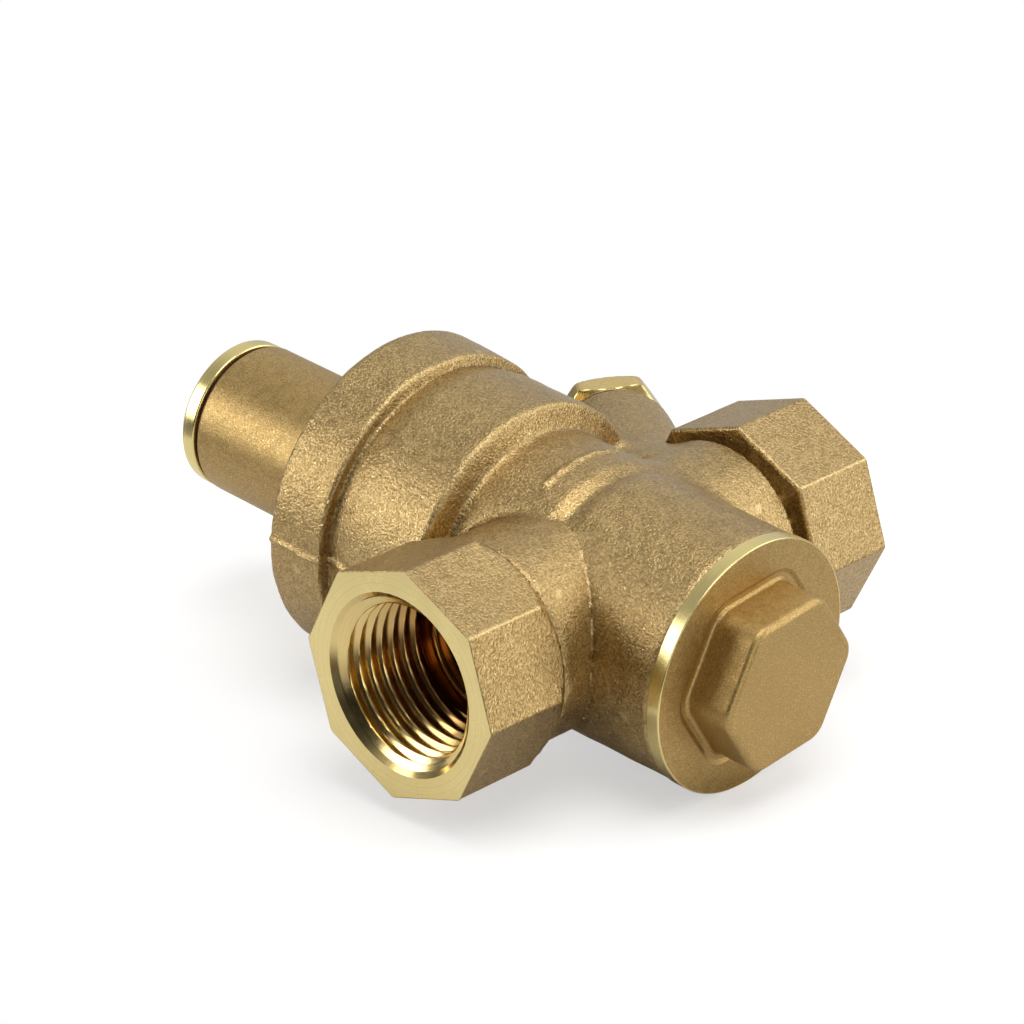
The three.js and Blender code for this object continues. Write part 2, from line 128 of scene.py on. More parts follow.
class Polygon:
    """A regular polygon section with rounded corners; one corner lies at angle turn."""

    def __init__(self, sides, half, corner, turn=0.0):
        self.sides, self.half, self.corner, self.turn = sides, half, corner, math.radians(turn)

    def radius(self, inner, angles):
        """Radius at each angle of the outline whose flats lie inner from the centre."""
        sector = math.pi / self.sides
        corner = max(self.corner + inner - self.half, 0.02)
        corner = min(corner, inner * 0.98)
        psi = np.abs((angles - self.turn + sector) % (2 * sector) - sector)
        centre = (inner - corner) / math.cos(sector)
        flat = inner / np.cos(sector - psi)
        bend = corner**2 - (centre * np.sin(psi))**2
        arc = centre * np.cos(psi) + np.sqrt(np.maximum(bend, 0))
        edge = math.atan2((inner - corner) * math.tan(sector), inner)
        return np.where(sector - psi <= edge, flat, arc)

    def angles(self, per_corner=12, per_flat=8):
        """Angles that put enough points on the corners of this outline."""
        sector = math.pi / self.sides
        edge = math.atan2((self.half - self.corner) * math.tan(sector), self.half)
        arc = sector - edge
        near = np.linspace(-arc, arc, per_corner)
        rest = np.linspace(arc * 1.12, 2 * sector - arc * 1.12, per_flat)
        corners = self.turn + 2 * sector * np.arange(self.sides)
        return np.sort((corners[:, None] + np.concatenate([near, rest])).ravel() % (2 * math.pi))


def round_angles(count):
    """Even angles round a full turn."""
    return np.linspace(0, 2 * math.pi, count, endpoint=False)


def corner_of(row):
    """The row's point, at its mean radius."""
    return np.array([row[0], np.mean(row[1])], float)


def soften(rows, steps=6, support=0.06):
    """The profile with its rounded corners drawn as arcs, and rows that hold the flats flat."""
    made = []
    sharp_and_round = (0, None)
    for i, row in enumerate(rows):
        x, r, bend, shape = (*row, *sharp_and_round[len(row) - 2:])
        if not bend:
            made.append((x, r, shape))
            continue
        here = corner_of(row)
        before = corner_of(rows[i - 1]) - here
        after = corner_of(rows[(i + 1) % len(rows)]) - here
        room = min(np.linalg.norm(before), np.linalg.norm(after))
        before /= np.linalg.norm(before)
        after /= np.linalg.norm(after)
        half = 0.5 * math.acos(np.clip(before @ after, -1, 1))
        reach = min(bend / math.tan(half), room * 0.49)
        bend = reach * math.tan(half)
        middle = (before + after) / np.linalg.norm(before + after)
        centre = here + middle * bend / math.sin(half)
        a = here + before * reach - centre
        b = here + after * reach - centre
        sweep = math.acos(np.clip(a @ b / (bend * bend), -1, 1))
        extra = min(support, reach * 0.5, (room - reach) * 0.4)
        made.append((*(here + before * (reach + extra)), shape))
        for t in np.linspace(0, 1, steps + 1):
            p = centre + (a * math.sin((1 - t) * sweep) + b * math.sin(t * sweep)) / math.sin(sweep)
            made.append((*p, shape))
        made.append((*(here + after * (reach + extra)), shape))
    return made


def ring(x, r, angles):
    """Points round the X axis."""
    r = np.broadcast_to(np.asarray(r, float), angles.shape)
    return np.stack([np.full(angles.shape, float(x)), r * np.cos(angles), r * np.sin(angles)], 1)


def skin(rings, closed):
    """Vertices and faces over rings of points, joined end to end or capped at each end."""
    n, m = len(rings[0]), len(rings)
    vertices = np.concatenate(rings)
    around = np.arange(n)
    following = (around + 1) % n
    faces = []
    for i in range(m if closed else m - 1):
        a, b = i * n, ((i + 1) % m) * n
        faces += np.stack([a + around, a + following, b + following, b + around], 1).tolist()
    if not closed:
        tips = np.array([rings[0].mean(0), rings[-1].mean(0)])
        vertices = np.concatenate([vertices, tips])
        last = (m - 1) * n
        faces += [[m * n, int(j), int(i)] for i, j in zip(around, following)]
        faces += [[m * n + 1, int(last + i), int(last + j)] for i, j in zip(around, following)]
    return vertices, faces


def turned(rows, angles=None, closed=False):
    """Vertices and faces of a piece turned about the X axis; rows on the axis only end it."""
    angles = round_angles(FINE) if angles is None else angles
    rings = []
    for x, r, shape in soften(rows):
        if np.max(r) > 0:
            rings.append(ring(x, r if shape is None else shape.radius(r, angles), angles))
    return skin(rings, closed)


def torus(x, r, section, angles=None):
    """A ring of round section about the X axis."""
    turns = round_angles(20)
    rows = [[x + section * math.cos(t), r + section * math.sin(t)] for t in turns]
    return turned(rows, angles, closed=True)


def thread(start, end, crest, root, pitch, angles, per_pitch=12, fade=0.8, least=None, turn=0):
    """Rows of a right-hand thread from one x to another, fading in and out at its ends.

    per_pitch rows are made for each turn of the thread, and fade is the number of turns it
    fades over. least(x) is a radius it doesn't go below. turn is its angle in radians.
    """
    rows = []
    count = max(int(abs(end - start) / pitch * per_pitch), 4)
    for x in np.linspace(start, end, count + 1):
        wave = np.sin(2 * math.pi * x / pitch - angles + turn)
        wave = 0.5 + 0.5 * np.arcsin(0.93 * wave) / math.asin(0.93)
        ramp = min(1.0, min(abs(x - start), abs(end - x)) / (fade * pitch) + 0.02)
        r = crest + (root - crest) * (1 - wave) * ramp
        if least is not None:
            r = np.maximum(r, least(x))
        rows.append((x, r))
    return rows


def moved(shape, degrees, offset=(0, 0, 0)):
    """A shape turned about Z by an angle and then moved."""
    vertices, faces = shape
    c, s = math.cos(math.radians(degrees)), math.sin(math.radians(degrees))
    turn = np.array([[c, -s, 0], [s, c, 0], [0, 0, 1]])
    return vertices @ turn.T + np.array(offset, float), faces


# ------------------------------------------------------------------ Blender objects

def mesh_object(name, shape):
    """A mesh in frame metres from a shape in millimetres, with its faces outward."""
    vertices, faces = shape
    data = (np.asarray(vertices, float) + [CROSSING_X, 0, 0]) * 0.001
    mesh = bpy.data.meshes.new(name)
    mesh.from_pydata(data.tolist(), [], faces)
    mesh.update()
    if signed_volume(mesh) < 0:
        mesh.flip_normals()
    obj = bpy.data.objects.new(name, mesh)
    bpy.context.scene.collection.objects.link(obj)
    return obj


def triangles_of(mesh):
    """The mesh's points, and the numbers of the three points of each triangle."""
    mesh.calc_loop_triangles()
    corners = np.zeros(len(mesh.loop_triangles) * 3, np.int32)
    mesh.loop_triangles.foreach_get("vertices", corners)
    points = np.zeros(len(mesh.vertices) * 3, np.float32)
    mesh.vertices.foreach_get("co", points)
    return points.reshape(-1, 3), corners.reshape(-1, 3)


def signed_volume(mesh):
    """Volume inside a closed mesh, negative where its faces point inward."""
    points, corners = triangles_of(mesh)
    a, b, c = points.astype(float)[corners].transpose(1, 0, 2)
    return float(np.einsum("ij,ij->i", a, np.cross(b, c)).sum() / 6)


def combine(target, tools, operation):
    """Joins or cuts closed meshes into the target, and removes the tools."""
    for tool in tools:
        step = target.modifiers.new("combine", "BOOLEAN")
        step.operation = operation
        step.solver = "MANIFOLD"
        step.object = tool
        graph = bpy.context.evaluated_depsgraph_get()
        result = bpy.data.meshes.new_from_object(target.evaluated_get(graph))
        target.modifiers.clear()
        old, target.data = target.data, result
        bpy.data.meshes.remove(old)
        bpy.data.objects.remove(tool)


def without_flakes(obj):
    """Turns the mesh to triangles and drops those folded flat onto each other by a cut."""
    mesh = obj.data
    points, corners = triangles_of(mesh)
    _, first, same = np.unique(np.round(points * 1e7), axis=0,
                               return_index=True, return_inverse=True)
    triangles = same.ravel()[corners]
    ordered = np.sort(triangles, axis=1)
    whole = (ordered[:, 0] < ordered[:, 1]) & (ordered[:, 1] < ordered[:, 2])
    triangles, ordered = triangles[whole], ordered[whole]
    _, twin, count = np.unique(ordered, axis=0, return_inverse=True, return_counts=True)
    triangles = triangles[count[twin.ravel()] == 1]
    cleaned = bpy.data.meshes.new(mesh.name)
    cleaned.from_pydata(points[first].tolist(), [], triangles.tolist())
    cleaned.update()
    obj.data = cleaned
    bpy.data.meshes.remove(mesh)


def face_data(mesh):
    """Centres in shape millimetres and normals of a mesh's faces."""
    count = len(mesh.polygons)
    centres, normals = np.zeros(count * 3, np.float32), np.zeros(count * 3, np.float32)
    mesh.polygons.foreach_get("center", centres)
    mesh.polygons.foreach_get("normal", normals)
    centres = centres.reshape(-1, 3).astype(float) * 1000 - [CROSSING_X, 0, 0]
    return centres, normals.reshape(-1, 3)


def paint(obj, materials, rule):
    """Gives the mesh its materials; rule turns face centres and normals into their numbers."""
    obj.data.materials.clear()
    for material in materials:
        obj.data.materials.append(material)
    if rule:
        index = rule(*face_data(obj.data)).astype(np.int32)
        obj.data.polygons.foreach_set("material_index", index)


def finish_piece(obj, node, materials, rule=None, smooth=32):
    """Shades a piece and makes it stand for its CAD node, riding on that node's body.

    smooth is the widest angle in degrees between faces that is shaded as one curve.
    """
    paint(obj, materials, rule)
    obj.data.shade_smooth()
    obj.data.set_sharp_from_angle(angle=math.radians(smooth))
    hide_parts(node)
    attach(obj, BODY_OF[node])


def put(node, shape, materials, rule=None):
    """A finished piece made from one shape."""
    finish_piece(mesh_object(node + "_piece", shape), node, materials, rule)


# ------------------------------------------------------------------ cast body as a distance field

class Profile:
    """Signed distance to a closed profile in the (x, r) half plane, read from a fine table."""

    STEP = 0.08

    def __init__(self, rows):
        points = np.array([p[:2] for p in soften(rows, steps=8, support=0.02)], float)
        self.low = np.array([points[:, 0].min() - 3, 0.0])
        high = points.max(0) + 3
        counts = np.ceil((high - self.low) / self.STEP).astype(int) + 1
        x = self.low[0] + self.STEP * np.arange(counts[0])[:, None]
        r = self.low[1] + self.STEP * np.arange(counts[1])[None, :]
        squared = np.full((counts[0], counts[1]), 1e9)
        inside = np.zeros((counts[0], counts[1]), bool)
        for a, b in zip(points, np.roll(points, -1, 0)):
            edge = b - a
            if a[1] > 0.01 or b[1] > 0.01:
                t = ((x - a[0]) * edge[0] + (r - a[1]) * edge[1]) / max(edge @ edge, 1e-12)
                t = np.clip(t, 0, 1)
                gap = (x - a[0] - t * edge[0])**2 + (r - a[1] - t * edge[1])**2
                squared = np.minimum(squared, gap)
            if a[1] != b[1]:
                crosses = (a[1] > r) != (b[1] > r)
                at = a[0] + (r - a[1]) / (b[1] - a[1]) * edge[0]
                inside ^= crosses & (x < at)
        inside[:, 0] = inside[:, 1]
        self.table = np.where(inside, -1, 1) * np.sqrt(squared)
        self.size = counts

    def __call__(self, x, r):
        """Distance at each point, negative inside."""
        u = np.clip((x - self.low[0]) / self.STEP, 0, self.size[0] - 1.001)
        v = np.clip((r - self.low[1]) / self.STEP, 0, self.size[1] - 1.001)
        i, j = u.astype(np.int32), v.astype(np.int32)
        u, v = u - i, v - j
        t = self.table
        return ((t[i, j] * (1 - u) + t[i + 1, j] * u) * (1 - v)
                + (t[i, j + 1] * (1 - u) + t[i + 1, j + 1] * u) * v)


def joined(a, b, radius):
    """Distance to two solids joined with a fillet of that radius."""
    return (np.maximum(radius, np.minimum(a, b))
            - np.hypot(np.maximum(radius - a, 0), np.maximum(radius - b, 0)))


def step_up(value, width):
    """A smooth rise from 0 to 1 over width, centred on 0."""
    t = np.clip(value / width + 0.5, 0, 1)
    return t * t * (3 - 2 * t)


AXIAL = Profile([
    [FLANGE_FRONT, 0], [FLANGE_FRONT, FLANGE_R, 0.55], [FLANGE_BACK - 0.2, FLANGE_BACK_R, 0.4],
    [FLANGE_BACK + 0.15, 18.75, 0.45], [-23.5, DRUM_R, 4], [DRUM_BACK, DRUM_R - 0.05, 0.7],
    [-11.75, 16.35, 0.5], [-11.0, MIDDLE_R, 0.6], [-0.7, MIDDLE_R + 0.05, 1.0], [1.2, 15.45, 0.6],
    [3.2, TAIL_R + 0.2, 2.5], [BODY_END, TAIL_R, 0.15], [BODY_END, 0],
])
INLET = Profile([
    [0, 0], [0, INLET_NECK_R], [19.9, INLET_NECK_R, 0.2], [20.15, INLET_NECK_R - 0.4],
    [INLET_FACE - 6, INLET_NECK_R - 0.4], [INLET_FACE - 6, 0],
])
OUTLET = Profile([
    [0, 0], [0, OUTLET_NECK_R + 0.1], [21.0, OUTLET_NECK_R, 0.3], [21.25, GROOVE_R, 0.3],
    [OUTLET_FACE - 6, GROOVE_R], [OUTLET_FACE - 6, 0],
])
BOSS = Profile([
    [-24, 0], [-24, 10.4], [-14, 8.6, 4], [-0.9, 7.75, 0.8], [0, 7.36, 0.25], [0, 0],
])


def flow_mark(x, y, z):
    """Height of the plain raised bar that runs over the top of the middle along the flow."""
    past_end = np.maximum(np.abs(y - BAR_CENTRE[1]) - BAR_HALF_LENGTH, 0)
    gap = np.hypot(x - BAR_CENTRE[0], past_end) - BAR_HALF_WIDTH
    return BAR_HEIGHT * (1 - step_up(gap, 0.5)) * (z > 8)


def parting_line(x, y, z):
    """Height of the line the two halves of the die left round the flange and the drum."""
    wander = 0.12 * np.sin(0.9 * x)
    line = np.exp(-((z - wander) / 0.3)**2)
    return 0.32 * line * (np.abs(y) > 12) * (1 - step_up(x + 10.5, 3))


def undulation(x, y, z):
    """The slight waviness of a forged surface."""
    return (0.030 * np.sin(0.83 * x + 0.6 * y + 1.3) * np.sin(0.71 * z - 0.4 * y)
            + 0.018 * np.sin(1.9 * x - 1.1 * z + 0.4) * np.sin(1.6 * y + 0.8 * z)
            + 0.010 * np.sin(3.7 * y + 2.9 * x) * np.sin(3.3 * z - 2.1 * x + 1.0))


def gauge_place(x, y):
    """Distance out from the gauge boss's face along its axis, and sideways from that axis."""
    c, s = math.cos(math.radians(GAUGE_ANGLE)), math.sin(math.radians(GAUGE_ANGLE))
    gx, gy = x - GAUGE_FACE[0], y - GAUGE_FACE[1]
    return gx * c + gy * s, gy * c - gx * s


def casting(x, y, z):
    """Signed distance to the outside of the body casting, without its port octagons."""
    axial = AXIAL(x, np.hypot(y, z))
    inlet = INLET(-y, np.hypot(x, z))
    outlet = OUTLET(y, np.hypot(x, z))
    out, side = gauge_place(x, y)
    boss = BOSS(out, np.hypot(side, z))
    d = joined(axial, inlet, 0.2)
    d = joined(d, outlet, 1.4)
    d = joined(d, boss, 1.6)
    return d - flow_mark(x, y, z) - parting_line(x, y, z) - undulation(x, y, z)


def casting_shape():
    """Vertices and faces of the casting, each vertex slid onto the exact surface."""
    low = np.array([FLANGE_FRONT - 1.5, -29.5, -21.5])
    high = np.array([BODY_END + 1.5, 35.5, 21.5])
    counts = np.ceil((high - low) / VOXEL).astype(int)
    axes = [low[k] + VOXEL * np.arange(counts[k]) for k in range(3)]
    values = np.empty(counts, np.float32)
    for i, x in enumerate(axes[0]):
        values[i] = casting(x, axes[1][:, None], axes[2][None, :])
    band = 3 * VOXEL  # distances are kept this far from the surface
    grid = openvdb.FloatGrid(band)
    grid.copyFromArray(np.clip(values, -band, band))
    points, quads = grid.convertToQuads(0.0)
    points = points.astype(float) * VOXEL + low
    for _ in range(3):
        points = points - slope_step(points)
    return points, quads.tolist()


def slope_step(points, h=0.01):
    """The move that takes each point to the casting's surface, by slopes measured over h."""
    value = casting(*points.T)
    slope = np.stack([
        casting(*(points + h * np.eye(3)[k]).T) - casting(*(points - h * np.eye(3)[k]).T)
        for k in range(3)
    ], 1) / (2 * h)
    length = np.maximum((slope**2).sum(1), 0.25)
    return np.clip(value / length, -0.3, 0.3)[:, None] * slope


# ------------------------------------------------------------------ body pieces

OCTAGON = Polygon(8, PORT_HALF, PORT_CORNER)


def port_block(face, length, bend, degrees):
    """The octagonal end of a port, from its machined face back to its blasted shoulder."""
    rows = [
        [face, 0], [face, PORT_HALF, 0.22, OCTAGON], [face - length, PORT_HALF, bend, OCTAGON],
        [face - length, GROOVE_R - 1, 0, None], [face - length, 0],
    ]
    return moved(turned(rows, OCTAGON.angles()), degrees)


def rounded_block(face, length, root, degrees):
    """A port octagon whose corners run down to a round end of radius root."""
    run = 2.4  # the last part of the length, where the corners go
    drop = 1.75
    angles = OCTAGON.angles()
    outline = OCTAGON.radius(PORT_HALF, angles)
    back = face - length
    rows = [[face, 0], [face, PORT_HALF, 0.22, OCTAGON], (face - 0.4, outline)]
    for x in np.linspace(back + run, back, 12):
        limit = root + drop * ((x - back) / run)**0.8
        rows.append((x, np.minimum(outline, limit)))
    rows += [[back, GROOVE_R], [back, 0]]
    return moved(turned(rows, angles), degrees)


def pipe_socket(face, degrees, per_pitch, count):
    """The space inside a G1/2 socket: a flared mouth, the thread and a plain end.

    It reaches 1 mm out past the port's face, so that it cuts clean through it.
    """
    angles = round_angles(count)

    def mouth(x):
        """Radius of the flared mouth at x."""
        depth = face - x
        return min(MOUTH_R - 1.1 * depth, MOUTH_INNER_R - 2 * (depth - MOUTH_DEPTH))

    rows = [[face + 1, 0], (face + 1, np.full(count, MOUTH_R + 0.7))]
    rows += thread(face, face - THREAD_DEPTH, PIPE_MAJOR_R, PIPE_MINOR_R, PIPE_PITCH, angles,
                   per_pitch, fade=0.1, least=mouth, turn=math.pi / 2)
    rows += [(face - THREAD_DEPTH - 0.2, np.full(count, SOCKET_END_R))]
    rows += [[face - SOCKET_DEPTH, SOCKET_END_R, 0.8], [face - SOCKET_DEPTH, 0]]
    return moved(turned(rows, angles), degrees)


def passage(start, end, degrees, x):
    """A plain hole along the flow at x, between two distances from the valve axis."""
    rows = [[start, 0], [start, PASSAGE_R], [end, PASSAGE_R], [end, 0]]
    return moved(turned(rows, round_angles(48)), degrees, (x, 0, 0))


def body_bores():
    """The bores along the valve axis, as one turned solid."""
    rows = [
        [-37, 0], [-37, 12.2], [-27.3, 12.2], [-27, 11.9], [-27, 11.5], [-12.5, 11.5, 0.3],
        [-12.5, 10], [-3, 10, 0.8], [-3, 6, 0.3], [0, 6, 0.2], [0, 8.2], [5, 8.2, 0.2],
        [5, 12, 0.6], [20.9, 12], [21.4, 12.5], [22.4, 13.5], [22.4, 0],
    ]
    return turned(rows, round_angles(96))


def valve_body():
    """The casting with its port octagons, and its sockets, bores and gauge hole cut out."""
    body = mesh_object("valve_body_piece", casting_shape())
    blocks = [
        rounded_block(INLET_FACE, INLET_PRISM, INLET_NECK_R + 0.15, -90),
        port_block(OUTLET_FACE, OUTLET_PRISM, 0.5, 90),
    ]
    combine(body, [mesh_object("block", b) for b in blocks], "UNION")
    hollows = [
        pipe_socket(INLET_FACE, -90, 30, 72),
        pipe_socket(OUTLET_FACE, 90, 14, 64),
        body_bores(),
        passage(10.5, 20, -90, PASSAGE_X),
        passage(9, 21, 90, -PASSAGE_X),
        moved(gauge_hole(), GAUGE_ANGLE, GAUGE_FACE),
    ]
    combine(body, [mesh_object("hollow", h) for h in hollows], "DIFFERENCE")
    without_flakes(body)
    finish_piece(body, "valve_body",
                 [blasted, machined_flow, thread_brass], body_finish, smooth=36)


def gauge_hole():
    """The threaded hole in the gauge boss, with the small hole that feeds it."""
    angles = round_angles(48)
    rows = [[1, 0], [1, 5.4], [0, 5.4]]
    rows += thread(-0.3, -8.2, 5.25, 4.8, 0.907, angles, 8)
    rows += [[-9, 4.75], [-9, 2], [-24, 2], [-24, 0]]
    return turned(rows, angles)


def body_finish(centre, normal):
    """Material numbers of the body: 0 blasted skin, 1 faced ends, 2 bores and threads."""
    x, y, z = centre.T
    flow_r, valve_r = np.hypot(x, z), np.hypot(y, z)
    faced = (np.abs(normal[:, 1]) > 0.995) & ((y < 0.02 - INLET_FACE) | (y > OUTLET_FACE - 0.02))
    faced |= (x > BODY_END - 0.03) & (normal[:, 0] > 0.99)
    faced |= (x < FLANGE_FRONT + 0.08) & (normal[:, 0] < -0.99)
    bore = (flow_r < np.where(np.abs(y) > INLET_FACE - 3, 11.5, 10.7)) & (np.abs(y) > 16.3)
    bore |= (valve_r < 12.9) & (x > FLANGE_FRONT - 0.5)
    bore &= ~faced
    out, side = gauge_place(x, y)
    gauge_r = np.hypot(side, z)
    bore |= (gauge_r < 5.3) & (out > -26) & (out < 0.5) & (np.abs(y) < 33)
    faced |= (gauge_r < 7.4) & (gauge_r > 5.2) & (np.abs(out) < 0.1)
    return np.where(faced, 1, np.where(bore, 2, 0))


def bottom_plug():
    """The plug at the near end, open behind, and its O-ring."""
    half, ring_r = 9.65, 15.85
    hexagon = Polygon(6, half, 3, 5.5)
    angles = hexagon.angles(16, 12)
    rows = [
        [PLUG_END, 0], [PLUG_END, half, 0.8, hexagon], [23.1, half, 0.7, hexagon],
        [23.05, 10.6, 0.35, hexagon], [23.3, 11.15, 0.25, hexagon], [23.3, ring_r, 0.12],
        [21.45, ring_r, 0.12], [21.45, 10.9, 0.1], [20.95, 10.9], [20.95, 10.2, 0.15],
        [19.05, 10.2, 0.15], [19.05, 11.7, 0.15], [18.2, 11.7], [17.8, 11.7],
    ]
    rows += thread(17.6, 12.3, 11.75, 11.0, 1.5, angles, 12)
    rows += [
        [12.1, 11.3], [11.5, 10.8, 0.1], [11.5, 9.8, 0.2], [16.8, 9.8, 0.4],
        [16.8, 5, 0.3], [26, 5, 0.5], [26, 0],
    ]
    put("bottom_plug", turned(rows, angles), [blasted_fine, machined_valve],
        plug_finish)
    put("plug_oring", torus(20, 11.08, 0.82), [rubber])


def plug_finish(centre, normal):
    """Material numbers of the bottom plug: 1 the ring, the bore and all behind, 0 the rest."""
    x, r = centre[:, 0], np.hypot(centre[:, 1], centre[:, 2])
    ring_edge = (r > 15.6) & (x > 21.4)
    bore = (r < 5.3) & (x < 26.2)
    return np.where(ring_edge | bore | (x < 21.5), 1, 0)


def spring_bonnet():
    """The neck that holds the spring and the adjuster, and the gasket behind its shoulder."""
    hexagon = Polygon(6, 11, 0.6)
    angles = hexagon.angles(14, 12)
    rows = [
        [-60, 8.3, 0.1], [-60, 9.7, 0.35], [-40.8, 9.72, 0.5], [-40.6, 11, 0.35, hexagon],
        [-38, 11, 0, hexagon], [-38, 14.5, 0.3], [-36.05, 14.5, 0.3], [-36.05, 11.6],
        [-35.2, 11.6],
    ]
    rows += thread(-35, -28.6, 11.95, 11.3, 1.5, angles, 10)
    rows += [[-28.4, 11.4], [-28, 11, 0.1], [-28, 8, 0.3], [-46.5, 8]]
    rows += thread(-46.8, -59.2, 8.35, 7.86, 1.0, angles, 8)
    put("spring_bonnet", turned(rows, angles, closed=True),
        [blasted_neck, machined_valve], bonnet_finish)
    gasket = [[-36, 12.4, 0.1], [-36, 14.4, 0.15], [-35.3, 14.4, 0.15], [-35.3, 12.4, 0.1]]
    put("bonnet_gasket", turned(gasket, closed=True), [fibre])


def bonnet_finish(centre, normal):
    """Material numbers of the bonnet: 1 the bore, the end and the screwed part, 0 the rest."""
    x, r = centre[:, 0], np.hypot(centre[:, 1], centre[:, 2])
    end = (x < -59.9) & (normal[:, 0] < -0.9)
    return np.where((r < 8.6) | end | (x > -36.2), 1, 0)


def adjuster_cap():
    """The cap on the end of the neck, with a screwdriver slot, and its gasket."""
    angles = round_angles(FINE)
    rows = [
        [CAP_END, 0], [CAP_END, 9.62, 0.3], [-60.67, 9.62, 0.25], [-60.67, 7.5], [-60.3, 7.5],
    ]
    rows += thread(-60.2, -57.4, 7.7, 7.2, 1.0, angles, 12)
    rows += [[-57.2, 7.3], [-57, 7.1, 0.1], [-57, 0]]
    cap = mesh_object("adjuster_cap_piece", turned(rows, angles))
    combine(cap, [mesh_object("slot", cap_slot())], "DIFFERENCE")
    finish_piece(cap, "adjuster_cap", [machined_valve])
    gasket = [[-60.62, 8, 0.1], [-60.62, 9.1, 0.2], [-60.05, 9.1, 0.2], [-60.05, 8, 0.1]]
    put("cap_gasket", turned(gasket, closed=True), [fibre])


def cap_slot():
    """A bar across the end of the cap that cuts its screwdriver slot."""
    half_width, half_length = 0.9, 6.5
    deepen = 1.25  # the slot's depth over half its width
    square = Polygon(4, half_width, 0.05, 45)
    rows = [
        [-half_length, 0], [-half_length, half_width, 0.1, square],
        [half_length, half_width, 0.1, square], [half_length, 0],
    ]
    vertices, faces = moved(turned(rows, square.angles(6, 3)), 90)
    return vertices * [deepen, 1, 1] + [CAP_END, 0, 0], faces


def adjuster():
    """The adjusting screw with its hexagon socket, and the seat it pushes on the spring."""
    key = Polygon(6, 4, 0.15)
    angles = key.angles(8, 12)
    rows = [[-50.5, 0], [-50.5, 4, 0, key], [-55.2, 4, 0, key], [-55.5, 4.3, 0, key], [-55.5, 6.9]]
    rows += thread(-55.4, -47.7, 7.7, 7.2, 1.0, angles, 12)
    rows += [[-47.6, 6.9], [-47.6, 0]]
    put("adjusting_screw", turned(rows, angles), [machined_valve])
    seat = [
        [-47.5, 0], [-47.5, 7.5, 0.3], [SPRING_TOP, 7.5, 0.3], [SPRING_TOP, 5, 0.3],
        [-43, 5, 0.5], [-43, 0],
    ]
    put("spring_top_seat", turned(seat, round_angles(SMALL)), [steel_turned])


# ------------------------------------------------------------------ spring

WIRE_R = 1.0
COIL_R = 6.4
COILS = 6
SPRING_TOP = -45.1  # the face of its seat
SPRING_FOOT = -21.5  # the face of the piston under it
SPRING_SPLIT = -29.3  # where the half on the adjuster's side meets the other half


def coil_path():
    """Points of the wire's centre line, closed up at both ends."""
    turns = np.linspace(0, COILS, COILS * 40 + 1)
    closed = 0.51  # pitch of the closed ends over the pitch of the open coils
    from_end = np.minimum(turns, COILS - turns)
    speed = np.minimum(1, closed + (1 - closed) * step_up(from_end - 0.75, 0.5))
    x = np.concatenate([[0], np.cumsum((speed[1:] + speed[:-1]) / 2)])
    x = SPRING_TOP + 1.25 + x / x[-1] * (SPRING_FOOT - SPRING_TOP - 2.5)
    angle = 2 * math.pi * turns
    return np.stack([x, COIL_R * np.cos(angle), COIL_R * np.sin(angle)], 1)


def wire(path):
    """A round wire along a path, with rounded ends."""
    ahead = np.gradient(path, axis=0)
    ahead /= np.linalg.norm(ahead, axis=1)[:, None]
    outward = path * [0, 1, 1] / COIL_R
    side = np.cross(ahead, outward)
    side /= np.linalg.norm(side, axis=1)[:, None]
    outward = np.cross(side, ahead)
    turns = round_angles(16)[:, None]
    rings = []
    for i, p in enumerate(path):
        r = WIRE_R * (0.85 if i in (0, len(path) - 1) else 1)
        rings.append(p + r * (np.cos(turns) * outward[i] + np.sin(turns) * side[i]))
    return skin(rings, False)


def main_spring():
    """The spring in two halves, drawn in place of its CAD node."""
    path = coil_path()
    upper = path[path[:, 0] <= SPRING_SPLIT + 0.05]
    lower = path[path[:, 0] >= SPRING_SPLIT - 0.05]
    halves = [
        ("upper", upper, "spring_seat", "housing", SPRING_TOP, SPRING_SPLIT),
        ("lower", lower, "housing", "shuttle", SPRING_SPLIT, SPRING_FOOT),
    ]
    for label, part, first, second, start, end in halves:
        piece = mesh_object("main_spring_" + label, wire(part))
        paint(piece, [steel_wire], None)
        piece.data.shade_smooth()
        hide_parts("main_spring")
        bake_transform(piece)


# ------------------------------------------------------------------ piston, disc and seat

